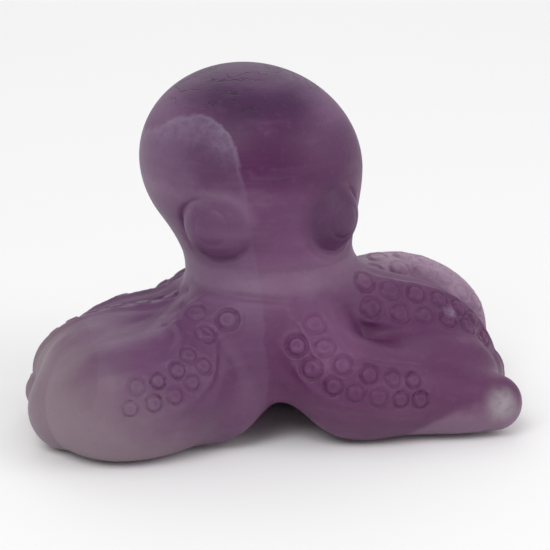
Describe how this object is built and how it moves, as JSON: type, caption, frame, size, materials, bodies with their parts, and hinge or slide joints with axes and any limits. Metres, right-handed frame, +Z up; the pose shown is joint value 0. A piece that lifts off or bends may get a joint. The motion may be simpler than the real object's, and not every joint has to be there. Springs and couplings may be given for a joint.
{
  "type": "carved stone octopus figurine",
  "caption": "Octopus carved from one piece of banded purple fluorite, with domed eyes and curled arms that carry rows of suckers, standing on a ground base.",
  "frame": {"origin": "on the ground base, under the middle of the neck", "axes": "+Z up out of the crown, -Y the way the face looks, +X to the animal's left, across the spread of the arms"},
  "size_m": [0.0743, 0.0537, 0.0527],
  "materials": {
    "fluorite": "satin"
  },
  "bodies": {
    "root": {"carved_octopus": "fluorite"}
  },
  "joints": []
}
